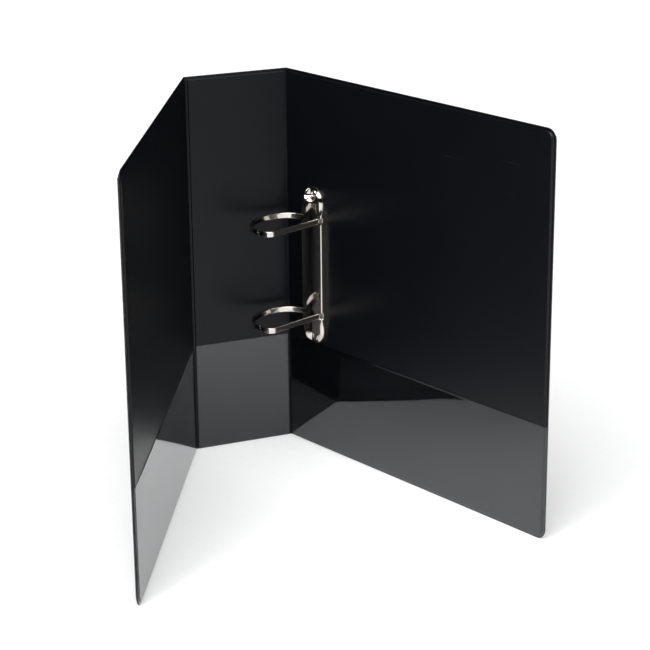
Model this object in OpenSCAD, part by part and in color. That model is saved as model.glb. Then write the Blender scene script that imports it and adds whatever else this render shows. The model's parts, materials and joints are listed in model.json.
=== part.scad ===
// Two-ring presentation binder for A4 sheets, standing open on its bottom edges.
// Origin: middle of the spine's bottom edge, halfway through the spine's thickness.
// X runs across the spine, +Y points out of the spine's outer face, +Z runs up the spine.
// A panel is drawn in its own frame: X along it from its hinge line, +Y out of the case, Z up.
// The ring mechanism is drawn across the back cover: X away from the spine, +Y into the case.

/* [Case] */
// Height of the case, bottom edge to top edge
case_height = 315; // [250:1:330]
// Distance between the two hinge lines of the spine
spine_width = 86; // [72:1:120]
// Length of each cover from its hinge line to its free edge
cover_width = 288; // [230:1:310]
// Radius of the covers' free corners
corner_radius = 8; // [4:0.5:14]
// Angle by which the front cover stands open beyond square to the spine
front_open_angle = 26.7; // [0:0.1:60]
// Angle by which the back cover stands open beyond square to the spine
back_open_angle = 19.8; // [0:0.1:60]

/* [Sheets and boards] */
// Thickness of the greyboard cores
board_thickness = 2; // [1.5:0.1:3]
// Thickness of each PVC sheet
sheet_thickness = 0.4; // [0.3:0.05:0.6]
// Thickness of the clear overlay film
film_thickness = 0.2; // [0.15:0.05:0.4]
// Width of the welded rim round the boards
rim_width = 2.6; // [2:0.1:4]
// Distance from a hinge line to the raised part of a panel
hinge_setback = 2.6; // [2.2:0.1:4]
// Distance from the top of the case down to the open mouth of the overlay film
mouth_depth = 5; // [4.5:0.5:12]
// Distance from the bottom of the case up to the clear films
film_lift = 0.4; // [0.3:0.1:1]
// Distance from the end of the ring housing down to the open mouth of the inner pockets
pocket_gap = 0.5; // [0.4:0.1:30]

/* [Ring housing] */
// Distance from the back cover's hinge line to the middle of the housing
housing_offset = 34; // [32:0.5:60]
// Length of the housing
housing_length = 132; // [128:1:180]
// Width of the housing
housing_width = 24; // [22:0.5:30]
// Height of the housing's crown above the lining
housing_height = 7; // [6.5:0.25:9]
// Thickness of the housing's steel
housing_wall = 0.8; // [0.6:0.05:1]
// Radius of the housing's shoulders
shoulder_radius = 4.5; // [4:0.25:5]
// Height of the shoulders' centres above the lining
shoulder_height = 0.57; // [0.4:0.01:1]
// Width of the sunken rivet seats
seat_width = 9; // [8.5:0.5:11]
// Distance from each rivet to the end of the housing
rivet_inset = 6; // [5:0.5:9]

/* [Rings] */
// Distance between the two rings, the standard two-hole spacing
ring_spacing = 80; // [70:1:90]
// Height of the rings' centre line above the middle of the cover's thickness
ring_height = 59.7; // [45:0.1:70]
// Width of the ring strip along the spine
strip_width = 4.4; // [3.5:0.1:5.5]
// Thickness of the ring strip
strip_thickness = 2; // [1.6:0.1:2.4]
// Lean of the straight leg away from the spine
straight_lean = 2.8; // [0:0.1:4]
// Slope of the top of the ring down towards the spine
top_slope = 5; // [0:0.5:8]
// Radius of the bend at the top of the straight leg
bend_radius = 6.5; // [5:0.5:9]
// Length of the stepped joint where the two halves of a ring meet
tip_lap = 1.6; // [1:0.1:3]

/* [Hinge plates] */
// Thickness of the two hinge plates
plate_thickness = 1; // [0.8:0.1:1.2]
// Angle by which each plate slopes down to the middle while the rings are shut
plate_angle = 3.75; // [3:0.25:5]
// Gap between the two plates as they pass through flat
plate_gap = 0.4; // [0.3:0.1:1]

/* [Rivets] */
// Outer radius of the hollow rivets
rivet_radius = 2.4; // [2:0.1:3]
// Radius of the hole down the hollow rivets
rivet_bore_radius = 1.6; // [1:0.1:1.8]
// Radius of the rivet heads hidden under the outer skin
rivet_head_radius = 6; // [4.5:0.25:8]
// Thickness of the hidden rivet heads
rivet_head_thickness = 0.6; // [0.4:0.05:0.8]

/* [Hidden] */
$fn = 64;
past = 10;

pvc_black = "#1b1c22";
board_grey = "#8d8778";
film_clear = "#c9d2d8";
nickel_plate = "#c4c2bd";
plain_steel = "#8f8f8c";

// Distances of the faces from the middle of a panel's thickness
board_face = board_thickness / 2;
panel_face = board_face + sheet_thickness;
film_face = panel_face + film_thickness;
board_play = 0.02;

// Section of the housing
half_width = housing_width / 2;
crown_top = panel_face + housing_height;
shoulder_x = half_width - shoulder_radius;
shoulder_y = panel_face + shoulder_height;

// The crown takes the radius that runs smoothly into both shoulders
crown_drop = crown_top - shoulder_y;
crown_radius = (pow(shoulder_x, 2) + pow(crown_drop, 2) - pow(shoulder_radius, 2))
    / (2 * (crown_drop - shoulder_radius));
crown_centre = crown_top - crown_radius;
shoulder_angle = atan2(shoulder_y - crown_centre, shoulder_x);
shoulder_steps = 9;
crown_steps = 4;
skirt_gap = 0.2;
skirt_y = panel_face + skirt_gap;
lip_thickness = 0.6;
lip_length = 1.6;
dome_z = housing_length / 2 - half_width;
rivet_z = housing_length / 2 - rivet_inset;
ring_z = ring_spacing / 2;

// Hinge plates: each turns about a line just inside the housing's edge
pivot_inset = 1.8;
pivot_lift = 1.9;
pivot_x = half_width - pivot_inset;
pivot_y = panel_face + pivot_lift;
plate_length = pivot_x - plate_gap / 2;
plate_edge_play = 0.02;
plate_end_play = 1.5;
plate_run = 2 * min(rivet_z - seat_width / 2 - plate_end_play, dome_z);

// Ring strip: headings count from the direction away from the spine, turning up from the cover
tenon_radius = 0.8;
tenon_play = 0.05;
tenon_depth = 0.9;
foot_reach = 1.6;
foot_x = pivot_x - foot_reach;
foot_y = pivot_y + plate_thickness / 2 + tenon_play;
heel_reach = 3.2;
heel_lift = 1.1;
heel_run = 2.5;
heel_step = 0.5;
heel_width = strip_width - 2 * heel_step;
heel_heading = 172;
heel_x = pivot_x - heel_reach;
heel_y = foot_y + heel_lift;
low_radius = 20;
low_heading = 110;
high_radius = 21;
high_heading = 50;
tip_play = 0.15;
bend_step = 3;
bend_from = 90 - straight_lean;
bend_to = 180 + top_slope;
slope = tan(top_slope);

// Where a bend that turns through the headings a to b ends, for a radius of one
function left_bend(a, b) = [sin(b) - sin(a), cos(a) - cos(b)];
function right_bend(a, b) = [sin(a) - sin(b), cos(b) - cos(a)];

// The curved leg's middle bend takes the radius that brings its top to ring_height
heel_end = [-heel_x, heel_y] + heel_run * [cos(heel_heading), sin(heel_heading)];
outer_bends = heel_end + low_radius * right_bend(heel_heading, low_heading)
    + high_radius * right_bend(high_heading, top_slope);
side_bend = right_bend(low_heading, high_heading);
side_radius = (ring_height - outer_bends[1] + slope * outer_bends[0])
    / (side_bend[1] - slope * side_bend[0]);
curved_top_x = outer_bends[0] + side_radius * side_bend[0];

// The straight leg's length brings its bend onto the same top line
top_bend = bend_radius * left_bend(bend_from, bend_to);
straight_run = (ring_height - foot_y - top_bend[1] + slope * (foot_x + top_bend[0]))
    / (sin(bend_from) - slope * cos(bend_from));
straight_top_x = foot_x + straight_run * cos(bend_from) + top_bend[0];

// Each step of a strip's path is [length, 0] for a straight run or [radius, turn] for a bend
straight_path = [[straight_run, 0], [bend_radius, bend_to - bend_from],
    [straight_top_x / cos(top_slope) + tip_lap / 2, 0]];
curved_path = [[heel_run, 0], [low_radius, low_heading - heel_heading],
    [side_radius, high_heading - low_heading], [high_radius, top_slope - high_heading],
    [-curved_top_x / cos(top_slope) + tip_lap / 2, 0]];

// Windows through which the legs leave the housing
window_reach = 1.2;
window_drop = 0.25;
window_play = 0.5;
window_x = heel_x - window_reach;
window_y = foot_y - window_drop;

// Rolled eyes of the rivets, in their seats
eye_play = 0.2;
eye_height = 1.1;
eye_radius = seat_width / 2 - housing_wall - eye_play;

// ---- Places ----

module on_spine() {
    translate([-spine_width / 2, 0, 0])
        children();
}

module on_front_cover() {
    translate([-spine_width / 2, 0, 0])
        rotate([0, 0, 90 - front_open_angle])
            mirror([1, 0, 0])
                children();
}

module on_back_cover() {
    translate([spine_width / 2, 0, 0])
        rotate([0, 0, back_open_angle - 90])
            children();
}

module on_mechanism() {
    on_back_cover()
        translate([housing_offset, 0, case_height / 2])
            mirror([0, 1, 0])
                children();
}

// ---- Panels ----

// Area of a panel in its own plane, with its two far corners rounded to r
module panel_area(x0, x1, z0, z1, r) {
    translate([x0, z0])
        square([x1 - x0 - r, z1 - z0]);
    if (r > 0) {
        translate([x0, z0 + r])
            square([x1 - x0, z1 - z0 - 2 * r]);
        for (z = [z0 + r, z1 - r])
            translate([x1 - r, z])
                circle(r = r);
    }
}

// Whole panel with its rim, from its hinge side to far_x
module rim_area(far_x, r) {
    panel_area(hinge_setback, far_x, 0, case_height, r);
}

// Part of the panel that stands proud over the board, grown by the given amount
module raised_area(far_x, r, grow) {
    panel_area(hinge_setback - grow, far_x + grow, rim_width - grow, case_height - rim_width + grow,
        r > 0 ? r + grow : 0);
}

// Gives an area in a panel's plane its thickness, from y0 to y1
module slab(y0, y1) {
    translate([0, y1, 0])
        rotate([90, 0, 0])
            linear_extrude(y1 - y0)
                children();
}

module board(far_x, r) {
    color(board_grey)
        slab(-board_face, board_face)
            raised_area(far_x, r, -sheet_thickness - board_play);
}

// One PVC sheet on the outer side: flat on the rim, raised over the board
module sheet(rim_x, far_x, rim_r, r) {
    color(pvc_black)
        difference() {
            union() {
                slab(0, sheet_thickness)
                    rim_area(rim_x, rim_r);
                slab(0, panel_face)
                    raised_area(far_x, r, 0);
            }
            slab(-past, board_face)
                raised_area(far_x, r, -sheet_thickness);
        }
}

// Clear film up to the given height, welded to the rim at its bottom and sides, open at the top
module film(rim_x, far_x, rim_r, r, top_z) {
    color(film_clear, 0.35)
        intersection() {
            difference() {
                union() {
                    slab(sheet_thickness, sheet_thickness + film_thickness)
                        rim_area(rim_x, rim_r);
                    slab(sheet_thickness, film_face)
                        raised_area(far_x, r, film_thickness);
                }
                slab(-past, panel_face)
                    raised_area(far_x, r, 0);
            }
            translate([hinge_setback, -past, film_lift])
                cube([rim_x - hinge_setback, 2 * past, top_z - film_lift]);
        }
}

cover_far = cover_width - rim_width;
spine_far = spine_width - hinge_setback;
raised_radius = corner_radius - rim_width;
overlay_top = case_height - mouth_depth;
pocket_top = (case_height - housing_length) / 2 - pocket_gap;

module cover_board() {
    board(cover_far, raised_radius);
}

module cover_sheet() {
    sheet(cover_width, cover_far, corner_radius, raised_radius);
}

module cover_film(top_z) {
    film(cover_width, cover_far, corner_radius, raised_radius, top_z);
}

// Hinge strip where both sheets are welded together, bent between two panels
module hinge_web(side, open_angle) {
    color(pvc_black)
        translate([side * spine_width / 2, 0, 0]) {
            cylinder(r = sheet_thickness, h = case_height);
            for (turn = [90 + side * 90, side * open_angle - 90])
                rotate([0, 0, turn])
                    translate([0, -sheet_thickness, 0])
                        cube([hinge_setback, 2 * sheet_thickness, case_height]);
        }
}

// Cuts for the two rivets through the back cover, of the given radius, from y0 to y1
module rivet_cuts(r, y0, y1) {
    for (side = [-1, 1])
        translate([0, y0, side * rivet_z])
            rotate([-90, 0, 0])
                cylinder(r = r, h = y1 - y0);
}

module spine_board() {
    on_spine()
        board(spine_far, 0);
}

module front_board() {
    on_front_cover()
        cover_board();
}

module back_board() {
    color(board_grey)
        difference() {
            on_back_cover()
                cover_board();
            on_mechanism() {
                rivet_cuts(rivet_radius + tenon_play, -past, past);
                rivet_cuts(rivet_head_radius + tenon_play, -past, rivet_head_thickness - board_face);
            }
        }
}

module spine_skin() {
    on_spine()
        sheet(spine_far, spine_far, 0, 0);
}

module front_skin() {
    on_front_cover()
        cover_sheet();
}

module back_skin() {
    on_back_cover()
        cover_sheet();
}

module spine_lining() {
    on_spine()
        mirror([0, 1, 0])
            sheet(spine_far, spine_far, 0, 0);
}

module front_lining() {
    on_front_cover()
        mirror([0, 1, 0])
            cover_sheet();
}

module back_lining() {
    color(pvc_black)
        difference() {
            on_back_cover()
                mirror([0, 1, 0])
                    cover_sheet();
            on_mechanism()
                rivet_cuts(rivet_radius + tenon_play, 0, past);
        }
}

module front_hinge_web() {
    hinge_web(-1, front_open_angle);
}

module back_hinge_web() {
    hinge_web(1, back_open_angle);
}

module spine_film() {
    on_spine()
        film(spine_far, spine_far, 0, 0, overlay_top);
}

module front_film() {
    on_front_cover()
        cover_film(overlay_top);
}

module back_film() {
    on_back_cover()
        cover_film(overlay_top);
}

module spine_pocket() {
    on_spine()
        mirror([0, 1, 0])
            film(spine_far, spine_far, 0, 0, pocket_top);
}

module front_pocket() {
    on_front_cover()
        mirror([0, 1, 0])
            cover_film(pocket_top);
}

module back_pocket() {
    on_back_cover()
        mirror([0, 1, 0])
            cover_film(pocket_top);
}

// ---- Ring housing ----

// Right half of the housing's section from the skirt to the crown, drawn in by inset
function arch_points(inset) =
    let (shoulder_r = shoulder_radius - inset, crown_r = crown_radius - inset)
    concat([[half_width - inset, skirt_y]],
        [for (k = [0:shoulder_steps])
            let (angle = shoulder_angle * k / shoulder_steps)
            [shoulder_x + shoulder_r * cos(angle), shoulder_y + shoulder_r * sin(angle)]],
        [for (k = [1:crown_steps])
            let (angle = shoulder_angle + (90 - shoulder_angle) * k / crown_steps)
            [crown_r * cos(angle), crown_centre + crown_r * sin(angle)]]);

// The arch run out along Z, with a half dome turned on each end
module arch_solid(inset) {
    half = arch_points(inset);
    translate([0, 0, -dome_z])
        linear_extrude(2 * dome_z)
            polygon(concat(half, [for (i = [len(half) - 2:-1:0]) [-half[i][0], half[i][1]]]));
    for (end = [-1, 1])
        translate([0, 0, end * dome_z])
            rotate([-90, end > 0 ? 180 : 0, 0])
                rotate_extrude(angle = 180)
                    polygon(concat([[0, skirt_y]], half));
}

// Plan of one rivet seat, open to the end of the housing, drawn in by inset
module seat_area(inset) {
    circle(r = seat_width / 2 - inset);
    translate([inset - seat_width / 2, 0])
        square([seat_width - 2 * inset, rivet_inset + past]);
}

// Both seats' plans raised from y0 to y1
module seats(inset, y0, y1) {
    for (end = [-1, 1])
        mirror([0, 0, end > 0 ? 0 : 1])
            translate([0, y1, rivet_z])
                rotate([90, 0, 0])
                    linear_extrude(y1 - y0)
                        seat_area(inset);
}

// Plan of the whole housing raised from y0 to y1
module housing_plan(y0, y1) {
    translate([-half_width, y0, -dome_z])
        cube([housing_width, y1 - y0, 2 * dome_z]);
    for (end = [-1, 1])
        translate([0, y0, end * dome_z])
            rotate([-90, 0, 0])
                cylinder(r = half_width, h = y1 - y0);
}

// Curled lips that hold the outer edges of the hinge plates
module lips() {
    for (side = [-1, 1])
        translate([side * (half_width - housing_wall - lip_length / 2) - lip_length / 2, skirt_y,
            -plate_run / 2])
            cube([lip_length, lip_thickness, plate_run]);
}

module ring_housing() {
    color(nickel_plate)
        on_mechanism()
            difference() {
                union() {
                    difference() {
                        arch_solid(0);
                        arch_solid(housing_wall);
                        seats(0, 0, crown_top + past);
                    }
                    lips();
                    intersection() {
                        arch_solid(0);
                        difference() {
                            seats(0, 0, crown_top);
                            seats(housing_wall, -past, crown_top + past);
                        }
                    }
                    intersection() {
                        housing_plan(panel_face, panel_face + housing_wall);
                        seats(0, panel_face, crown_top);
                    }
                }
                rivet_cuts(rivet_radius + tenon_play, 0, crown_top);
                for (end = [-1, 1], side = [-1, 1])
                    translate([side > 0 ? window_x : -window_x - past, window_y,
                        end * ring_z - strip_width / 2 - window_play])
                        cube([past, crown_top, strip_width + 2 * window_play]);
            }
}

// Hollow rivets: a flat head under the skin, a tube through the cover and a rolled eye in the seat
module housing_rivets() {
    seat_y = panel_face + housing_wall;
    color(nickel_plate)
        on_mechanism()
            difference() {
                union() {
                    rivet_cuts(rivet_head_radius, -board_face, rivet_head_thickness - board_face);
                    rivet_cuts(rivet_radius, -board_face, seat_y);
                    rivet_cuts(eye_radius, seat_y, seat_y + eye_height);
                }
                rivet_cuts(rivet_bore_radius, rivet_head_thickness - board_face, crown_top);
            }
}

// ---- Hinge plates and ring legs ----

// Plate on the side away from the spine, with holes for the tenons at the given distance across
module hinge_plate(hole_x) {
    difference() {
        translate([pivot_x, pivot_y, -plate_run / 2])
            rotate([0, 0, 180 + plate_angle]) {
                cylinder(r = plate_thickness / 2 - plate_edge_play, h = plate_run);
                translate([0, -plate_thickness / 2, 0])
                    cube([plate_length, plate_thickness, plate_run]);
            }
        for (end = [-1, 1])
            translate([hole_x, 0, end * ring_z])
                rotate([-90, 0, 0])
                    cylinder(r = tenon_radius + tenon_play, h = crown_top);
    }
}

module straight_leg_plate() {
    color(plain_steel)
        on_mechanism()
            hinge_plate(foot_x);
}

module curved_leg_plate() {
    color(plain_steel)
        on_mechanism()
            mirror([1, 0, 0])
                hinge_plate(heel_x + tenon_radius);
}

// Points [x, y, heading] along a path that starts at the point at, with bends in even steps
function path_points(path, at, i = 0) =
    i == len(path) ? [] :
    let (
        size = path[i][0],
        turn = path[i][1],
        count = max(1, ceil(abs(turn) / bend_step)),
        side = sign(turn),
        points = [for (k = [1:count])
            let (heading = at[2] + turn * k / count)
            turn == 0 ? [at[0] + size * cos(heading), at[1] + size * sin(heading), heading]
                : [at[0] + side * size * (sin(heading) - sin(at[2])),
                    at[1] + side * size * (cos(at[2]) - cos(heading)), heading]]
    )
    concat(points, path_points(path, points[count - 1], i + 1));

// The point beside a path point, at the given distance to its left
function beside(point, distance) =
    [point[0] - distance * sin(point[2]), point[1] + distance * cos(point[2])];

// Flat strip along a path, its tip cut back to a tongue of half its width on the given side
module ring_strip(start, path, tongue) {
    points = concat([start], path_points(path, start));
    last = points[len(points) - 1];
    notch = tip_lap + tip_play;
    half = strip_thickness / 2;
    difference() {
        translate([0, 0, -strip_width / 2])
            linear_extrude(strip_width)
                polygon(concat([for (point = points) beside(point, half)],
                    [for (i = [len(points) - 1:-1:0]) beside(points[i], -half)]));
        translate([last[0], last[1], 0])
            rotate([0, 0, last[2]])
                translate([-notch, -past, tongue > 0 ? tip_play / 2 - strip_width : -tip_play / 2])
                    cube([notch + past, 2 * past, strip_width]);
    }
}

// Round tenon that holds a leg in its hinge plate
module tenon(x, top_y) {
    bottom_y = pivot_y - tenon_depth;
    translate([x, bottom_y, 0])
        rotate([-90, 0, 0])
            cylinder(r = tenon_radius, h = top_y - bottom_y);
}

module straight_leg(end) {
    color(nickel_plate)
        on_mechanism()
            translate([0, 0, end * ring_z]) {
                ring_strip([foot_x, foot_y, bend_from], straight_path, 1);
                tenon(foot_x, foot_y + strip_thickness / 2);
            }
}

module curved_leg(end) {
    color(nickel_plate)
        on_mechanism()
            translate([0, 0, end * ring_z]) {
                ring_strip([-heel_x, heel_y, heel_heading], curved_path, -1);
                translate([-heel_x - heel_run / 2, foot_y, -heel_width / 2])
                    cube([heel_run / 2, heel_y - foot_y, heel_width]);
                tenon(-heel_x - tenon_radius, heel_y);
            }
}

module upper_straight_leg() {
    straight_leg(1);
}

module lower_straight_leg() {
    straight_leg(-1);
}

module upper_curved_leg() {
    curved_leg(1);
}

module lower_curved_leg() {
    curved_leg(-1);
}

spine_board();
front_board();
back_board();
spine_skin();
front_skin();
back_skin();
spine_lining();
front_lining();
back_lining();
front_hinge_web();
back_hinge_web();
spine_film();
front_film();
back_film();
ring_housing();
housing_rivets();
straight_leg_plate();
curved_leg_plate();
upper_straight_leg();
lower_straight_leg();
upper_curved_leg();
lower_curved_leg();
spine_pocket();
front_pocket();
back_pocket();
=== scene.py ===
"""Two-ring presentation binder standing open: its visible surfaces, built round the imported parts."""
import json
import math

import bpy
import numpy as np
from mathutils import Matrix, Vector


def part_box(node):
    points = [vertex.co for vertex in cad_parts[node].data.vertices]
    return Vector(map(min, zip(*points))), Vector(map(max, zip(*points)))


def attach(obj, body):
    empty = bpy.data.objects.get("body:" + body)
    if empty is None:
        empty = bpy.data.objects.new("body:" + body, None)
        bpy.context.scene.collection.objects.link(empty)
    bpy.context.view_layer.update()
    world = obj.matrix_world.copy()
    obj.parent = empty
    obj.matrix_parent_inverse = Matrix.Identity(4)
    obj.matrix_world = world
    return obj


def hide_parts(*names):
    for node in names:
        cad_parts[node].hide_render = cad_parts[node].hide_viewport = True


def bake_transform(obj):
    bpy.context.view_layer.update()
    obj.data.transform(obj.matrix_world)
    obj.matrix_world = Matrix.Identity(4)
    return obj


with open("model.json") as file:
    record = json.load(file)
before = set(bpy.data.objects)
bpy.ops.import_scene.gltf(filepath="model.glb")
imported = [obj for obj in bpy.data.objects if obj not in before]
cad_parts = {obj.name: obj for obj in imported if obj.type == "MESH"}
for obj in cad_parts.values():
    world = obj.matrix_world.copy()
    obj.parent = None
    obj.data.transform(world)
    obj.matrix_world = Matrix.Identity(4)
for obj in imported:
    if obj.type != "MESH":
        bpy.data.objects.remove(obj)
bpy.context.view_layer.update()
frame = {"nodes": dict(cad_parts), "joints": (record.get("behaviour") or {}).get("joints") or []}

MM = 0.001
joints = {joint["name"]: joint for joint in frame["joints"]}

# ---- Sizes, in mm ----

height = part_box("spine_skin")[1].z / MM
half_spine = joints["back_cover_hinge"]["pos_m"][0] / MM
front_angle = -math.radians(joints["front_cover_hinge"]["range_deg"][0])
back_angle = -math.radians(joints["back_cover_hinge"]["range_deg"][0])
cover_width = -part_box("back_skin")[0].y / math.cos(back_angle) / MM
corner_radius = 8
setback = 2.6          # hinge line to the raised part of a panel
sheet = 0.4            # one PVC sheet
board_face = 1.0       # middle of the panel to the face of its board
panel_face = board_face + sheet
film_top = 0.6         # outer face of the clear film on the rim
film_thickness = 0.14
mouth = height - 5     # top edge of the clear pockets outside
inner_mouth = 91       # top edge of the clear pockets inside, just below the ring housing
film_foot = 0.4
loose_top = {1: 0.45, -1: 0.2}   # how far a pocket's mouth stands off, outside and inside
loose_run = 30         # how far below its mouth a pocket starts to stand off
sheet_climb, film_climb = 2.1, 1.75   # from the rim's edge to where sheet and film start up
climb_run, hinge_climb_run = 0.9, 0.42
wave_size = 0.045      # height of a sheet's largest slow wave
swell, swell_radius, swell_run = 0.16, 7.2, 1.6   # the sheet over a hidden rivet head
cut_round = 0.38       # rounding of a sheet's cut edge
bead_height = 0.1      # bead along a film's cut mouth
rib_height, rib_pitch = 0.05, 1.3     # pressed ribs of the hinge welds

housing_offset = 34
half_housing = 12
dome_z = 54
rivet_z = 60
housing_wall = 0.8
skirt_y = panel_face + 0.2
crown_top = panel_face + 7
shoulder_radius = 4.5
shoulder_y = panel_face + 0.57
seat_radius = 3.6
edge_radius = 1.3                # shoulders of the straight middle, tighter than at the ends
edge_level = crown_top - 3.8
dish_end, dish_sides = 1.2, 3.4  # slope beyond each rivet seat, along and across the housing
seat_floor = panel_face + housing_wall

pivot_x = half_housing - 1.8
pivot_y = panel_face + 1.9
ring_z = 40
ring_height = 59.7
strip_width = 4.4
strip_thickness = 2
foot_x = pivot_x - 1.6
foot_y = pivot_y + 0.55
heel_x = pivot_x - 3.2
heel_y = foot_y + 1.1
tenon_radius = 0.8
tip_lap = 1.6
tip_play = 0.15
window_side = 5.8                # where a leg's window starts, from the housing's middle line
window_play = 0.5
sill = foot_y - 0.25             # lower edge of the windows

tip_fall = 5                     # slope of both tips, in degrees
heel_run, heel_heading = 2.5, 172
outer_radius, outer_turn = 20, 62
side_turn = 60
inner_radius, inner_turn = 21, 45
corner_bend, leg_lean = 6.5, 90 - 2.8

# ---- Places ----

panels = {
    "spine": {"hinge": -half_spine, "along": (1, 0), "outward": (0, 1), "length": 2 * half_spine},
    "front_cover": {"hinge": -half_spine, "along": (-math.sin(front_angle), -math.cos(front_angle)),
                    "outward": (-math.cos(front_angle), math.sin(front_angle)), "length": cover_width},
    "back_cover": {"hinge": half_spine, "along": (math.sin(back_angle), -math.cos(back_angle)),
                   "outward": (math.cos(back_angle), math.sin(back_angle)), "length": cover_width},
}


def on_panel(body, u, out, z):
    """Points of a panel in metres: its hinge line, plus u along the panel, plus out away from the
    case, at height z."""
    panel = panels[body]
    x = panel["hinge"] + u * panel["along"][0] + out * panel["outward"][0]
    y = u * panel["along"][1] + out * panel["outward"][1]
    return np.stack(np.broadcast_arrays(x, y, z), axis=-1) * MM


def on_mechanism(x, y, z):
    """Points of the ring mechanism in metres: x across the housing, y up from the cover, z from its
    middle."""
    return on_panel("back_cover", housing_offset + x, -y, height / 2 + z)


# ---- Meshes ----

def smooth_step(x):
    """0 below 0, 1 above 1, and the cubic 3x^2 - 2x^3 between."""
    x = np.clip(x, 0, 1)
    return x * x * (3 - 2 * x)


def piece(name, points, faces, body=None, replaced=(), slot=None, material=None, sharp=35):
    """A closed mesh from points (n, 3) and quads (m, 4): unused points dropped, doubles merged,
    turned outwards."""
    used, faces = np.unique(faces, return_inverse=True)
    points, faces = points[used], faces.reshape(-1, 4)
    rounded = np.round(points / (0.002 * MM)).astype(np.int64)
    _, first, same = np.unique(rounded, axis=0, return_index=True, return_inverse=True)
    points, faces = points[first], same.reshape(-1)[faces]
    a, b, c, d = (points[faces[:, k]] for k in range(4))
    if (np.cross(b, c) * a).sum() + (np.cross(c, d) * a).sum() < 0:
        faces = faces[:, ::-1]
    after = np.roll(faces, -1, axis=1)
    distinct = faces != after
    flat = distinct.sum(axis=1) >= 3
    faces, distinct = faces[flat], distinct[flat]
    mesh = bpy.data.meshes.new(name)
    mesh.vertices.add(len(points))
    mesh.vertices.foreach_set("co", points.astype(np.float32).ravel())
    corners = faces[distinct]
    counts = distinct.sum(axis=1)
    mesh.loops.add(len(corners))
    mesh.loops.foreach_set("vertex_index", corners.astype(np.int32))
    mesh.polygons.add(len(faces))
    mesh.polygons.foreach_set("loop_start", (np.cumsum(counts) - counts).astype(np.int32))
    mesh.update(calc_edges=True)
    mesh.validate()
    mesh.shade_smooth()
    mesh.set_sharp_from_angle(angle=math.radians(sharp))
    thing = bpy.data.objects.new(name, mesh)
    bpy.context.scene.collection.objects.link(thing)
    if material:
        mesh.materials.append(material)
    if replaced:
        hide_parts(*replaced)
    if body:
        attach(thing, body)
    if material == clear:
        thing.visible_shadow = False
    return thing


def shell(top, under, keep=None):
    """Points and quads of a closed sheet between two grids: the top's cells, the under's cells
    turned over, and a wall wherever a kept cell meets a dropped one or the edge of the grid."""
    rows, columns = top.shape[:2]
    if keep is None:
        keep = np.ones((rows - 1, columns - 1), bool)
    count = rows * columns
    number = np.arange(count).reshape(rows, columns)
    a, b = number[:-1, :-1][keep], number[1:, :-1][keep]
    c, d = number[1:, 1:][keep], number[:-1, 1:][keep]
    quads = [np.stack([a, b, c, d], 1), np.stack([d, c, b, a], 1) + count]
    padded = np.pad(keep, 1)
    for start, end, (di, dj) in (((0, 0), (1, 0), (0, -1)), ((1, 0), (1, 1), (1, 0)),
                                 ((1, 1), (0, 1), (0, 1)), ((0, 1), (0, 0), (-1, 0))):
        i, j = np.nonzero(keep & ~padded[1 + di:rows + di, 1 + dj:columns + dj])
        first, second = number[i + start[0], j + start[1]], number[i + end[0], j + end[1]]
        quads.append(np.stack([second, first, first + count, second + count], 1))
    return np.concatenate([top.reshape(-1, 3), under.reshape(-1, 3)]), np.concatenate(quads)


def tube(rings):
    """Points and quads of a closed tube through rings (stations, around, 3), each end closed on its
    middle point."""
    ends = [np.broadcast_to(ring.mean(axis=0), ring.shape) for ring in (rings[0], rings[-1])]
    rings = np.concatenate([ends[:1], rings, ends[1:]])
    stations, around = rings.shape[:2]
    number = np.arange(stations * around).reshape(stations, around)
    beside = np.roll(number, -1, axis=1)
    quads = np.stack([number[:-1], beside[:-1], beside[1:], number[1:]], -1)
    return rings.reshape(-1, 3), quads.reshape(-1, 4)


def joined(*parts):
    """Several (points, quads) pairs as one."""
    starts = np.cumsum([0] + [len(points) for points, _ in parts[:-1]])
    return (np.concatenate([points for points, _ in parts]),
            np.concatenate([quads + start for (_, quads), start in zip(parts, starts)]))


def graded(low, high, fine, step):
    """Grid lines from low to high: the fine distances in from both ends, and even steps of about
    step between."""
    fine = np.asarray(fine, float)
    steps = max(2, round((high - low - 2 * fine[-1]) / step))
    inner = np.linspace(low + fine[-1], high - fine[-1], steps + 1)
    return np.concatenate([low + fine[:-1], inner, (high - fine[:-1])[::-1]])


def rounded(u, z, far, top, foot):
    """Moves grid points into the free corners: inside each corner's square of the corner radius,
    the point at (a, b) from the corner's centre goes to the circle of radius max(a, b), in the
    direction of (a, b)."""
    a = u - (far - corner_radius)
    for sign, level in ((1, top), (-1, foot)):
        b = sign * (z - level) + corner_radius
        inside = (a > 0) & (b > 0)
        ratio = np.where(inside, np.maximum(a, b) / np.maximum(np.hypot(a, b), 1e-9), 1)
        u = np.where(inside, far - corner_radius + a * ratio, u)
        z = np.where(inside, level + sign * (b * ratio - corner_radius), z)
    return u, z


# ---- Sheets of the case ----

rim_lines = [0, 0.06, 0.16, 0.3, 0.5, 0.75, 1.0, 1.25, 1.5, 1.7, 1.9, 2.1, 2.25, 2.4, 2.55, 2.7,
             2.85, 3.05, 3.4, 4, 5.5, 8]
hinge_lines = [0, 0.05, 0.11, 0.17, 0.23, 0.29, 0.36, 0.44, 0.6, 0.9, 1.4, 2.2, 4, 8]


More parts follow.
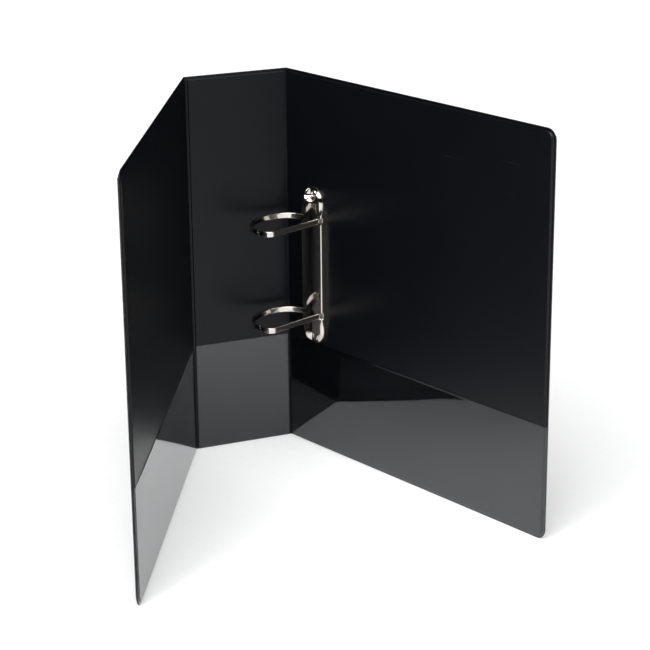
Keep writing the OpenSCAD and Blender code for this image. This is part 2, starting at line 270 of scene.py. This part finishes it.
def sheet_grid(body):
    """Grid lines of a panel, with the distance of each point from its welded rim and from its
    hinges."""
    length = panels[body]["length"]
    hinged = body == "spine"
    far = length - setback if hinged else length
    near_lines = setback + np.asarray(hinge_lines)
    far_lines = far - np.asarray(hinge_lines if hinged else rim_lines)[::-1]
    between = np.linspace(near_lines[-1], far_lines[0], round((far_lines[0] - near_lines[-1]) / 3.6) + 1)
    u, z = np.meshgrid(np.concatenate([near_lines[:-1], between, far_lines[1:]]),
                       graded(0, height, rim_lines, 3.6), indexing="ij")
    rim = np.minimum(z, height - z)
    hinge = u - setback
    if hinged:
        hinge = np.minimum(hinge, far - u)
    else:
        rim = np.minimum(rim, far - u)
        u, z = rounded(u, z, far, height, 0)
    return u, z, rim, hinge


def raised(rim, hinge):
    """How far the sheet has climbed from the rim onto the board, 0 to 1: a smooth step across the
    rim's inner edge times a steeper one at the hinge."""
    return smooth_step((rim - sheet_climb) / climb_run) * smooth_step(hinge / hinge_climb_run)


def ripple(u, z, turn, size):
    """Slow waves of a sheet drawn over board: four sines of 55 to 210 mm, each running in its own
    direction."""
    waves = ((210, 0.3, 1.0), (130, 1.9, 0.7), (83, 2.6, 0.4), (55, 1.1, 0.22))
    total = 0
    for length, way, weight in waves:
        travel = u * np.cos(way + turn) + z * np.sin(way + turn)
        total = total + weight * np.sin(2 * np.pi * travel / length + 5 * turn + way)
    return size * total


def waves_on(body, side, u, z, rim, hinge):
    """The waves of one side of a panel, fading to nothing at its rim and hinges, each side with its
    own turn, plus the low round swelling of the sheet over the hidden head of each rivet."""
    turn = list(panels).index(body) + (0.4 if side > 0 else 2.1)
    faded = smooth_step((rim - 3) / 14) * smooth_step((hinge - 0.5) / 14)
    waves = ripple(u, z, turn, wave_size) * faded
    if body == "back_cover" and side > 0:
        away = np.hypot(u - housing_offset, np.abs(z - height / 2) - rivet_z)
        waves += swell * smooth_step((swell_radius - away) / swell_run)
    return waves


def case_sheet(body, side):
    """Both faces of one PVC sheet. The outer face is the rim's rounded cut edge and pressed weld
    line, plus the climb onto the board, plus the waves of the panel; the under face keeps to the
    board."""
    u, z, rim, hinge = sheet_grid(body)
    climb = raised(rim, hinge)
    edge = np.sqrt(np.clip(1 - (1 - np.minimum((rim + 0.02) / cut_round, 1)) ** 2, 0, 1))
    weld = 0.05 * np.exp(-((rim - 0.8) / 0.32) ** 2) - 0.11 * np.exp(-((rim - 1.55) / 0.22) ** 2)
    face = (sheet * edge + weld * (1 - climb) + (panel_face - sheet) * climb
            + waves_on(body, side, u, z, rim, hinge))
    back = board_face * climb
    return shell(on_panel(body, u, side * face, z), on_panel(body, u, side * back, z))


def clear_pocket(body, side, top, turn):
    """The clear film of one pocket: it climbs onto the panel just before the sheet does, its bottom
    and sides welded down and its top edge standing a little off the panel in slow waves, with a
    small bead where the film was cut."""
    length = panels[body]["length"]
    hinged = body == "spine"
    far = length - setback if hinged else length
    near_lines = setback + np.asarray(hinge_lines)
    far_lines = far - np.asarray(hinge_lines if hinged else rim_lines)[::-1]
    columns = round((far_lines[0] - near_lines[-1]) / 5) + 1
    between = np.linspace(near_lines[-1], far_lines[0], columns)
    top_lines = top - np.array([30, 24, 18, 13, 9, 6, 3.5, 2, 1.1, 0.8, 0.5, 0.2, 0])
    steps = round((top_lines[0] - film_foot - rim_lines[-1]) / 6)
    middle_lines = np.linspace(film_foot + rim_lines[-1], top_lines[0], steps + 1)[1:-1]
    z_lines = np.concatenate([film_foot + np.asarray(rim_lines), middle_lines, top_lines])
    u_lines = np.concatenate([near_lines[:-1], between, far_lines[1:]])
    u, z = np.meshgrid(u_lines, z_lines, indexing="ij")
    rim, hinge = z + 0 * u, u - setback
    sides = np.minimum(hinge, far - u)
    sheet_rim = np.minimum(rim, height - z)
    if hinged:
        hinge = sides
    else:
        rim, sheet_rim = np.minimum(rim, far - u), np.minimum(sheet_rim, far - u)
        into_corner = np.clip(z - (height - corner_radius), 0, None)
        cut = corner_radius - np.sqrt(corner_radius ** 2 - into_corner ** 2)
        u = setback + (u - setback) * (far - cut - setback) / (far - setback)
        u, z = rounded(u, z, far, 10 * height, film_foot)
    waves = waves_on(body, side, u, z, sheet_rim, hinge)
    climb = (smooth_step((rim - film_climb) / climb_run)
             * smooth_step((hinge + 0.15) / hinge_climb_run))
    loose = (loose_top[side] * smooth_step((z - top + loose_run) / loose_run)
             * smooth_step((sides - 6) / loose_run))
    lift = loose * (0.6 + 0.4 * np.sin(u / 23 + turn))
    bead = bead_height * smooth_step((z - top + 0.9) / 0.5)
    face = film_top + (panel_face - sheet) * climb + waves + lift - 0.02 * climb + bead
    under = face - film_thickness - bead
    return shell(on_panel(body, u, side * face, z), on_panel(body, u, side * under, z))


def hinge_weld(body):
    """The welded hinge strip as a profile carried up the case: two short arms from the hinge line,
    rounded where they meet, 0.8 mm thick with three fine pressed ribs on each face."""
    run = np.linspace(-setback, setback, 41)
    along = np.array([panels["spine"]["along"], panels[body]["along"]])
    spine_way = along[0] * (1 if body == "front_cover" else -1)
    rounding = 0.9
    bend = np.sqrt(run ** 2 + rounding ** 2) - rounding
    spare = np.sqrt(setback ** 2 + rounding ** 2) - rounding
    toward_cover = np.clip((run / setback + bend / spare) / 2, 0, 1) * setback
    toward_spine = np.clip((bend / spare - run / setback) / 2, 0, 1) * setback
    middle = toward_cover[:, None] * along[1] + toward_spine[:, None] * spine_way
    tangent = np.gradient(middle, axis=0)
    tangent /= np.linalg.norm(tangent, axis=1)[:, None]
    normal = np.stack([-tangent[:, 1], tangent[:, 0]], 1)
    flat_end = smooth_step((setback - np.abs(run)) / 0.5)
    ribs = rib_height * np.cos(run * 2 * np.pi / rib_pitch) * flat_end
    z = graded(0, height, [0, 0.1, 0.3, 0.7, 1.5, 4], 5)
    ends = np.minimum(smooth_step((z + 0.1) / 0.5), smooth_step((height + 0.1 - z) / 0.5)) ** 0.5
    grids = []
    for side in (1, -1):
        half = (sheet + ribs)[:, None] * ends
        xy = middle[:, None, :] + side * half[..., None] * normal[:, None, :]
        x = xy[..., 0] + panels[body]["hinge"]
        grids.append(np.stack(np.broadcast_arrays(x, xy[..., 1], z), -1) * MM)
    return shell(*grids)


# ---- Ring mechanism ----

def arch_height(distance, inset, radius, level):
    """Height of an arch at a distance from its middle line, drawn in by inset: a wide crown arc
    that runs into a shoulder arc of the given radius, whose wall starts at the given level.
    Pythagoras gives both from their centres."""
    start = half_housing - radius
    drop = crown_top - level
    crown_radius = (start ** 2 + drop ** 2 - radius ** 2) / (2 * (drop - radius))
    centre = crown_top - crown_radius
    join = start + radius * start / (crown_radius - radius)
    crown = centre + np.sqrt(np.clip((crown_radius - inset) ** 2 - distance ** 2, 0, None))
    reach = np.clip(distance - start, 0, radius - inset)
    shoulder = level + np.sqrt(np.clip((radius - inset) ** 2 - reach ** 2, 0, None))
    share = (crown_radius - inset) / crown_radius
    return np.where(distance < join * share, crown, shoulder)


def housing_surface(across, along, inset, seat):
    """One face of the housing over its plan: across and along run -1 to 1. The plan's rectangle is
    drawn into round ends. The height is a sharp-shouldered arch in the middle, blended into a
    round-shouldered one at the ends, where it sinks smoothly into a dished channel of the seat's
    radius."""
    reach = half_housing - inset
    x = reach * across
    z = (dome_z + reach) * along
    beyond = np.clip(np.abs(z) - dome_z, 0, None)
    farther = np.maximum(np.abs(x), beyond)
    ratio = np.where(beyond > 0, farther / np.maximum(np.hypot(x, beyond), 1e-9), 1)
    distance = np.where(beyond > 0, farther, np.abs(x))
    x, z = x * ratio, np.sign(z) * (np.minimum(np.abs(z), dome_z) + beyond * ratio)
    domed = smooth_step((np.abs(z) - ring_z - 3.5) / 9)
    arch = (arch_height(distance, inset, edge_radius, edge_level) * (1 - domed)
            + arch_height(distance, inset, shoulder_radius, shoulder_y) * domed)
    gap = np.hypot(x, np.clip(rivet_z - np.abs(z), 0, None))
    floor = seat_floor - inset
    slope_width = dish_end + (dish_sides - dish_end) * (x / np.maximum(gap, 1e-9)) ** 2
    sunk = 1 - smooth_step((gap - seat) / slope_width)
    return x, arch + (np.minimum(floor, arch) - arch) * sunk, z


def housing():
    """The plated housing as a closed sheet: outer and inner faces joined at the skirt, with a
    window for each leg."""
    side = np.sin(np.linspace(-math.pi / 2, math.pi / 2, 121))
    window_edge = window_side / half_housing
    low, high = (np.abs(side - s * window_edge).argmin() for s in (-1, 1))
    side[low], side[high] = -window_edge, window_edge
    fine = np.linspace(0.66, 1, 100)
    half_window = strip_width / 2 + window_play
    windows = [ring_z + s * half_window for s in (-1, 1)]
    middle = np.concatenate([np.linspace(0, windows[0], 12),
                             np.linspace(windows[0], windows[1], 8)[1:],
                             np.linspace(windows[1], dome_z * 0.8, 3)[1:-1]])
    half = np.concatenate([middle / (dome_z + half_housing), fine[1:]])
    lengthwise = np.concatenate([-half[:0:-1], half])
    across, along = np.meshgrid(side, lengthwise, indexing="ij")
    outer = housing_surface(across, along, 0, seat_radius)
    inner = housing_surface(across, along, housing_wall, seat_radius + housing_wall)
    x, y, z, inner_x, inner_y, inner_z = (np.pad(grid, 2, mode="edge") for grid in (*outer, *inner))
    for level in (y, inner_y):
        in_channel = level < seat_floor + 0.3
        for border, foot in ((1, sill), (0, skirt_y)):
            rim = np.ones(level.shape, bool)
            rim[border + 1:-border - 1, border + 1:-border - 1] = False
            lowest = np.where(in_channel, seat_floor - 0.3, foot)
            level[rim] = np.minimum(level, lowest)[rim]
    cell = lambda grid: (grid[:-1, :-1] + grid[1:, 1:]) / 2
    in_window = (np.abs(np.abs(cell(z)) - ring_z) < half_window) & (np.abs(cell(x)) > window_side)
    keep = ~(in_window & (cell(y) > sill))
    return shell(on_mechanism(x, y, z), on_mechanism(inner_x, inner_y, inner_z), keep)


def rivet(end):
    """A hollow rivet turned round its axis: a flat head, a straight shank and a rolled eye with an
    open bore."""
    bore, shank, head, eye = 1.6, 2.4, 6, 3.45
    roll = np.linspace(0, math.pi, 17)
    middle, half = (bore + eye) / 2, (eye - bore) / 2
    radius = np.concatenate([[0.01, bore, bore], middle - half * np.cos(roll),
                             [eye - 0.15, shank, shank, head - 0.1, head, head, head - 0.1, 0.01]])
    level = np.concatenate([[-0.4, -0.4, seat_floor + 0.2], seat_floor + 0.25 + 0.85 * np.sin(roll),
                            [seat_floor + 0.01, seat_floor + 0.01, -0.4, -0.4, -0.5, -0.9, -1.0, -1.0]])
    turn = np.linspace(0, 2 * math.pi, 64, endpoint=False)[:, None]
    rings = on_mechanism(radius * np.cos(turn), level + 0 * turn, end * rivet_z + radius * np.sin(turn))
    return tube(rings.transpose(1, 0, 2))


def walk(start, path, step=1.5):
    """Points x, y and heading along straight runs [length, 0] and bends [radius, turn], in
    degrees."""
    x, y, heading = start
    out = [np.array([[x, y, heading]])]
    for size, turn in path:
        count = max(4, math.ceil(abs(turn) / step))
        k = np.arange(1, count + 1) / count
        now = heading + turn * k
        if turn:
            side = np.sign(turn) * size
            a, b = np.radians(now), math.radians(heading)
            part = np.stack([x + side * (np.sin(a) - math.sin(b)),
                             y + side * (math.cos(b) - np.cos(a)), now], 1)
        else:
            b = math.radians(heading)
            part = np.stack([x + size * k * math.cos(b), y + size * k * math.sin(b), now], 1)
        out.append(part)
        x, y, heading = part[-1]
    return np.concatenate(out)


def strip(points, low, high, half, rounding=0.55):
    """A flat strip carried along points: at each one a rounded rectangle from low to high along the
    case and half to each side of the path, with its corners rounded."""
    theta = (np.arange(32) + 0.5) * 2 * math.pi / 32
    cos, sin = np.cos(theta), np.sin(theta)
    middle, reach = (low + high) / 2, (high - low) / 2
    curve = np.minimum(np.minimum(rounding, reach), half)[:, None]
    z = middle[:, None] + np.sign(cos) * (reach[:, None] - curve) + curve * cos
    n = np.sign(sin) * (half[:, None] - curve) + curve * sin
    heading = np.radians(points[:, 2])[:, None]
    return points[:, :1] - n * np.sin(heading), points[:, 1:2] + n * np.cos(heading), z


def ring_half(points, tongue, end):
    """A ring half: the strip at full width to the notch, then half its width on the tongue's side,
    with every edge at the tip eased by a quarter round."""
    step = np.linalg.norm(np.diff(points[:, :2], axis=0), axis=1)
    left = np.concatenate([np.cumsum(step[::-1])[::-1], [0]])
    notch = tip_lap + tip_play
    ease = 0.3 * (1 - np.cos(np.linspace(0, math.pi / 2, 5)))
    last, heading = points[-1], math.radians(points[-1, 2])
    back = np.concatenate([[notch + 0.3, notch + 0.1, notch, notch], [notch - 0.05, 0.3, 0.14, 0.04, 0]])
    stations = np.stack([last[0] - back * math.cos(heading), last[1] - back * math.sin(heading),
                         np.full(len(back), points[-1, 2])], 1)
    body = points[left > notch + 0.4]
    path = np.concatenate([body, stations])
    wide = np.full(len(path), strip_width / 2)
    narrow = np.full(len(path), strip_width / 2)
    narrow[-6:] = -tip_play / 2
    narrow[-7] = strip_width / 2 - 0.25
    half = np.full(len(path), strip_thickness / 2)
    for sizes in (wide, half, narrow):
        sizes[-4:] -= ease[1:]
    low, high = (-narrow, wide) if tongue > 0 else (-wide, narrow)
    x, y, z = strip(path, low, high, half)
    return tube(on_mechanism(x, y, end * ring_z + z))


def tenon(x, top, end):
    """A round tenon under a leg: a circle carried up from below the hinge plate, its lower edge
    eased."""
    levels = np.array([pivot_y - 0.9, pivot_y - 0.88, pivot_y - 0.75, top])
    radii = tenon_radius * np.array([0.6, 0.8, 1, 1])
    turn = np.linspace(0, 2 * math.pi, 24, endpoint=False)[None, :]
    return tube(on_mechanism(x + radii[:, None] * np.cos(turn), levels[:, None] + 0 * turn,
                             end * ring_z + radii[:, None] * np.sin(turn)))


def bend(radius, start, end):
    """Step across and up made by a bend of the given radius, turning right from one heading to
    another."""
    a, b = math.radians(start), math.radians(end)
    return radius * np.array([math.sin(a) - math.sin(b), math.cos(b) - math.cos(a)])


def straight_step(run, heading):
    """Step across and up made by a straight run at a heading."""
    return run * np.array([math.cos(math.radians(heading)), math.sin(math.radians(heading))])


slope = math.tan(math.radians(tip_fall))
tip_cos = math.cos(math.radians(tip_fall))
side_heading = heel_heading - outer_turn
inner_heading = side_heading - side_turn
outer_bends = (np.array([-heel_x, heel_y]) + straight_step(heel_run, heel_heading)
               + bend(outer_radius, heel_heading, side_heading)
               + bend(inner_radius, inner_heading, tip_fall))
side_bend = bend(1, side_heading, inner_heading)
side_radius = ((ring_height - outer_bends[1] + slope * outer_bends[0])
               / (side_bend[1] - slope * side_bend[0]))
curved_top_x = outer_bends[0] + side_radius * side_bend[0]
curved_points = walk((-heel_x, heel_y, heel_heading),
                     [(heel_run, 0), (outer_radius, -outer_turn), (side_radius, -side_turn),
                      (inner_radius, -inner_turn), (-curved_top_x / tip_cos + tip_lap / 2, 0)])

top_turn = 180 + tip_fall - leg_lean
top_bend = -bend(corner_bend, leg_lean, leg_lean + top_turn)
leg_way = straight_step(1, leg_lean)
straight_run = ((ring_height - foot_y - top_bend[1] + slope * (foot_x + top_bend[0]))
                / (leg_way[1] - slope * leg_way[0]))
straight_top_x = foot_x + straight_run * leg_way[0] + top_bend[0]
straight_points = walk((foot_x, foot_y, leg_lean),
                       [(straight_run, 0), (corner_bend, top_turn),
                        (straight_top_x / tip_cos + tip_lap / 2, 0)])


def heel(end):
    """The block between a curved leg's heel and its hinge plate: a strip carried straight up."""
    levels = np.array([foot_y, foot_y + 0.1, heel_y - 0.2, heel_y + 0.4])
    points = np.stack([np.full(4, -heel_x - 0.65), levels, np.full(4, 90.0)], 1)
    reach = np.array([1.55, 1.7, 1.7, 1.7])
    x, y, z = strip(points, -reach, reach, np.array([0.5, 0.6, 0.6, 0.6]), 0.2)
    return tube(on_mechanism(x, y, end * ring_z + z))


# ---- Materials ----

def linear(code):
    """Linear colour of an sRGB hex value."""
    parts = np.array([int(code[k:k + 2], 16) for k in (1, 3, 5)]) / 255
    return (*np.where(parts <= 0.04045, parts / 12.92, ((parts + 0.055) / 1.055) ** 2.4).tolist(), 1.0)


def add(tree, kind, settings=(), links=(), **values):
    """A node with its settings, its socket values and its incoming links, each named by socket."""
    node = tree.nodes.new(kind)
    for key, value in dict(settings).items():
        setattr(node, key, value)
    for key, value in dict(links).items():
        tree.links.new(value, node.inputs[key])
    for key, value in values.items():
        node.inputs[key.replace("_", " ")].default_value = value
    return node


def material(name):
    """A material with its tree, its Principled shader and object coordinates."""
    made = bpy.data.materials.new(name)
    made.use_nodes = True
    tree = made.node_tree
    shader = tree.nodes["Principled BSDF"]
    coordinates = tree.nodes.new("ShaderNodeTexCoord").outputs["Object"]
    return made, tree, shader, coordinates


def per_metre(millimetres):
    """Texture scale for a feature of that size."""
    return 1 / (millimetres * MM)


def tinted(tree, factor, first, second):
    """A mix of two colours by a texture's value."""
    mix = add(tree, "ShaderNodeMix", {"data_type": "RGBA"}, {"Factor": factor})
    mix.inputs["A"].default_value, mix.inputs["B"].default_value = linear(first), linear(second)
    return mix


def calendered_pvc():
    """Plasticised PVC sheet, calendered to a satin finish: near black with a blue cast, a soft
    sheen that no reflection stands out in, and a few pale scuffs."""
    made, tree, shader, where = material("black_calendered_pvc")
    cloud = add(tree, "ShaderNodeTexNoise", links={"Vector": where}, Scale=per_metre(90), Detail=2.0)
    tint = tinted(tree, cloud.outputs["Fac"], "#05070a", "#0b0d12")
    # Scuffs: long thin lines, only where a patch of the slower texture lets them through.
    stretch = add(tree, "ShaderNodeMapping", links={"Vector": where},
                  Scale=(14, 14, 900), Rotation=(0.5, 0.3, 0))
    lines = add(tree, "ShaderNodeTexNoise", links={"Vector": stretch.outputs["Vector"]},
                Scale=1.0, Detail=3.0)
    smooth = {"interpolation_type": "SMOOTHSTEP"}
    thin = add(tree, "ShaderNodeMapRange", smooth, {"Value": lines.outputs["Fac"]})
    thin.inputs["From Min"].default_value, thin.inputs["From Max"].default_value = 0.66, 0.74
    patch = add(tree, "ShaderNodeTexNoise", links={"Vector": where}, Scale=per_metre(38), Detail=1.0)
    spot = add(tree, "ShaderNodeMapRange", smooth, {"Value": patch.outputs["Fac"]})
    spot.inputs["From Min"].default_value, spot.inputs["From Max"].default_value = 0.6, 0.72
    scuff = add(tree, "ShaderNodeMath", {"operation": "MULTIPLY"})
    tree.links.new(thin.outputs["Result"], scuff.inputs[0])
    tree.links.new(spot.outputs["Result"], scuff.inputs[1])
    worn = add(tree, "ShaderNodeMix", {"data_type": "RGBA"},
               {"Factor": scuff.outputs["Value"], "A": tint.outputs["Result"]})
    worn.inputs["B"].default_value = linear("#202228")
    rough = add(tree, "ShaderNodeMapRange", links={"Value": scuff.outputs["Value"]})
    rough.inputs["To Min"].default_value, rough.inputs["To Max"].default_value = 0.36, 0.6
    peel = add(tree, "ShaderNodeTexNoise", links={"Vector": where}, Scale=per_metre(1.6), Detail=2.0)
    bump = add(tree, "ShaderNodeBump", links={"Height": peel.outputs["Fac"]},
               Strength=0.2, Distance=0.006 * MM)
    tree.links.new(worn.outputs["Result"], shader.inputs["Base Color"])
    tree.links.new(rough.outputs["Result"], shader.inputs["Roughness"])
    tree.links.new(bump.outputs["Normal"], shader.inputs["Normal"])
    shader.inputs["IOR"].default_value = 1.52
    shader.inputs["Specular IOR Level"].default_value = 0.22  # below smooth PVC's: a dull sheen
    return made


def clear_film():
    """Clear flexible PVC film, calendered smooth: over the black sheet it shows only as a sharp
    mirror gloss, a little uneven. Its tint is greyer than clear film's: it sets how bright the
    gloss looks, and keeps the render's noise down."""
    made, tree, shader, where = material("clear_pvc_film")
    cloud = add(tree, "ShaderNodeTexNoise", links={"Vector": where}, Scale=per_metre(30), Detail=1.0)
    rough = add(tree, "ShaderNodeMapRange", links={"Value": cloud.outputs["Fac"]})
    rough.inputs["To Min"].default_value, rough.inputs["To Max"].default_value = 0.02, 0.05
    bump = add(tree, "ShaderNodeBump", links={"Height": cloud.outputs["Fac"]},
               Strength=0.2, Distance=0.05 * MM)
    tree.links.new(rough.outputs["Result"], shader.inputs["Roughness"])
    tree.links.new(bump.outputs["Normal"], shader.inputs["Normal"])
    shader.inputs["Base Color"].default_value = linear("#a0a6aa")
    shader.inputs["Transmission Weight"].default_value = 1.0
    shader.inputs["IOR"].default_value = 1.53
    return made


def nickel_plate():
    """Steel strip, polished and nickel plated: a warm silver mirror with fine drawing lines and
    light handling wear."""
    made, tree, shader, where = material("polished_nickel_plate")
    cloud = add(tree, "ShaderNodeTexNoise", links={"Vector": where}, Scale=per_metre(7), Detail=3.0)
    tint = tinted(tree, cloud.outputs["Fac"], "#d9d4cc", "#c7bfb5")
    rough = add(tree, "ShaderNodeMapRange", links={"Value": cloud.outputs["Fac"]})
    rough.inputs["To Min"].default_value, rough.inputs["To Max"].default_value = 0.04, 0.14
    stretch = add(tree, "ShaderNodeMapping", links={"Vector": where},
                  Scale=(per_metre(0.5), per_metre(0.5), per_metre(9)))
    drawn = add(tree, "ShaderNodeTexNoise", links={"Vector": stretch.outputs["Vector"]},
                Scale=1.0, Detail=2.0)
    bump = add(tree, "ShaderNodeBump", links={"Height": drawn.outputs["Fac"]},
               Strength=0.15, Distance=0.02 * MM)
    tree.links.new(tint.outputs["Result"], shader.inputs["Base Color"])
    tree.links.new(rough.outputs["Result"], shader.inputs["Roughness"])
    tree.links.new(bump.outputs["Normal"], shader.inputs["Normal"])
    shader.inputs["Metallic"].default_value = 1.0
    return made


def rolled_steel():
    """Cold-rolled steel plate, oiled and left bare: a dull grey with fine lines along the roll."""
    made, tree, shader, where = material("bare_rolled_steel")
    stretch = add(tree, "ShaderNodeMapping", links={"Vector": where},
                  Scale=(per_metre(0.4), per_metre(0.4), per_metre(14)))
    lines = add(tree, "ShaderNodeTexNoise", links={"Vector": stretch.outputs["Vector"]},
                Scale=1.0, Detail=3.0)
    tint = tinted(tree, lines.outputs["Fac"], "#8f8f8c", "#6f6f6d")
    rough = add(tree, "ShaderNodeMapRange", links={"Value": lines.outputs["Fac"]})
    rough.inputs["To Min"].default_value, rough.inputs["To Max"].default_value = 0.28, 0.45
    tree.links.new(tint.outputs["Result"], shader.inputs["Base Color"])
    tree.links.new(rough.outputs["Result"], shader.inputs["Roughness"])
    shader.inputs["Metallic"].default_value = 1.0
    return made


def greyboard():
    """Recycled greyboard, pressed and cut: a matt grey-brown with flecks of fibre."""
    made, tree, shader, where = material("pressed_greyboard")
    fleck = add(tree, "ShaderNodeTexNoise", links={"Vector": where}, Scale=per_metre(0.8), Detail=5.0)
    tint = tinted(tree, fleck.outputs["Fac"], "#8d8778", "#6c675c")
    bump = add(tree, "ShaderNodeBump", links={"Height": fleck.outputs["Fac"]},
               Strength=0.5, Distance=0.1 * MM)
    tree.links.new(tint.outputs["Result"], shader.inputs["Base Color"])
    tree.links.new(bump.outputs["Normal"], shader.inputs["Normal"])
    shader.inputs["Roughness"].default_value = 0.9
    return made


black, clear = calendered_pvc(), clear_film()
nickel, steel, card = nickel_plate(), rolled_steel(), greyboard()

# ---- The case ----

for turn, (body, short) in enumerate((("spine", "spine"), ("front_cover", "front"),
                                      ("back_cover", "back"))):
    for name, shape, node, slot, finish in (
            ("outer_sheet", case_sheet(body, 1), "skin", "black_pvc", black),
            ("inner_sheet", case_sheet(body, -1), "lining", "black_pvc", black),
            ("overlay_pocket", clear_pocket(body, 1, mouth, turn), "film", "clear_film", clear),
            ("inner_pocket", clear_pocket(body, -1, inner_mouth, turn + 3), "pocket", "clear_film",
             clear)):
        piece(f"{body}_{name}", *shape, body, [f"{short}_{node}"], slot, finish)

for body, node in (("front_cover", "front_hinge_web"), ("back_cover", "back_hinge_web")):
    weld = piece(f"{body}_hinge_weld", *hinge_weld(body), None, [node], "black_pvc", black)
    end = on_panel(body, setback, 0.0, height / 2)
    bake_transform(weld)

# ---- The ring mechanism ----

piece("arched_housing", *housing(), "back_cover", ["ring_housing"], "nickel_plate", nickel, 50)
piece("hollow_rivets", *joined(rivet(1), rivet(-1)), "back_cover", ["housing_rivets"],
      "nickel_plate", nickel)
for level, end in (("upper", 1), ("lower", -1)):
    straight = joined(ring_half(straight_points, 1, end), tenon(foot_x, foot_y + 1, end))
    curved = joined(ring_half(curved_points, -1, end), heel(end),
                    tenon(-heel_x - tenon_radius, heel_y, end))
    for side, shape in (("straight", straight), ("curved", curved)):
        piece(f"{level}_{side}_ring_half", *shape, f"{side}_half", [f"{level}_{side}_leg"],
              "nickel_plate", nickel)

for name, finish in (("spine_board", card), ("front_board", card), ("back_board", card),
                     ("straight_leg_plate", steel), ("curved_leg_plate", steel)):
    for slot in frame["nodes"][name].material_slots:
        slot.material = finish

# ---- Studio ----

def floor():
    """A pale matt floor: one flat square, four metres each way."""
    made, tree, shader, where = material("pale_studio_floor")
    grain = add(tree, "ShaderNodeTexNoise", links={"Vector": where}, Scale=per_metre(6), Detail=2.0)
    tint = tinted(tree, grain.outputs["Fac"], "#f4f4f4", "#efefef")
    tree.links.new(tint.outputs["Result"], shader.inputs["Base Color"])
    shader.inputs["Roughness"].default_value = 0.8
    corners = 4.0 * np.array([[-1, -1, 0], [1, -1, 0], [1, 1, 0], [-1, 1, 0]])
    mesh = bpy.data.meshes.new("studio_floor")
    mesh.from_pydata(corners.tolist(), [], [(0, 1, 2, 3)])
    mesh.materials.append(made)
    thing = bpy.data.objects.new("studio_floor", mesh)
    bpy.context.scene.collection.objects.link(thing)


def lamp(name, kind, energy, place, turn, **settings):
    """A light of the given kind, at a place and turned by Euler angles in degrees."""
    data = bpy.data.lights.new(name, kind)
    data.energy = energy
    for key, value in settings.items():
        setattr(data, key, value)
    thing = bpy.data.objects.new(name, data)
    thing.location = place
    thing.rotation_euler = [math.radians(angle) for angle in turn]
    bpy.context.scene.collection.objects.link(thing)


floor()
lamp("overhead_softbox", "SUN", 4.5, (0, 0, 3), (29, 0, -20), angle=math.radians(64))
lamp("left_softbox", "AREA", 18, (-1.5, -0.9, 0.9), (70, 0, -60),
     shape="RECTANGLE", size=0.8, size_y=1.4)

# The world is white to the camera and dark to every reflection.
world = bpy.data.worlds.new("studio")
bpy.context.scene.world = world
world.use_nodes = True
room = world.node_tree
room.nodes.clear()
seen = add(room, "ShaderNodeLightPath").outputs["Is Camera Ray"]
dark = add(room, "ShaderNodeBackground", Color=linear("#16181c"), Strength=1.0)
pale = add(room, "ShaderNodeBackground", Color=linear("#ffffff"), Strength=1.0)
both = add(room, "ShaderNodeMixShader", links={"Fac": seen})
room.links.new(dark.outputs["Background"], both.inputs[1])
room.links.new(pale.outputs["Background"], both.inputs[2])
add(room, "ShaderNodeOutputWorld", links={"Surface": both.outputs["Shader"]})

# ---- Camera ----

yaw, pitch, roll = 0.3824, 0.3368, -0.0096
forward = np.array([math.sin(yaw) * math.cos(pitch), math.cos(yaw) * math.cos(pitch),
                    -math.sin(pitch)])
right = np.array([math.cos(yaw), -math.sin(yaw), 0])
up = np.cross(right, forward)
right, up = (math.cos(roll) * right + math.sin(roll) * up,
             math.cos(roll) * up - math.sin(roll) * right)
lens = bpy.data.cameras.new("camera")
lens.lens, lens.sensor_width, lens.clip_end = 111.36, 36, 50
camera = bpy.data.objects.new("camera", lens)
place = Matrix.Identity(4)
for row in range(3):
    place[row][0], place[row][1], place[row][2] = right[row], up[row], -forward[row]
    place[row][3] = (-0.5199, -1.4772, 0.6506)[row]
camera.matrix_world = place
bpy.context.scene.collection.objects.link(camera)
bpy.context.scene.camera = camera
bpy.context.scene.view_settings.view_transform = "Standard"
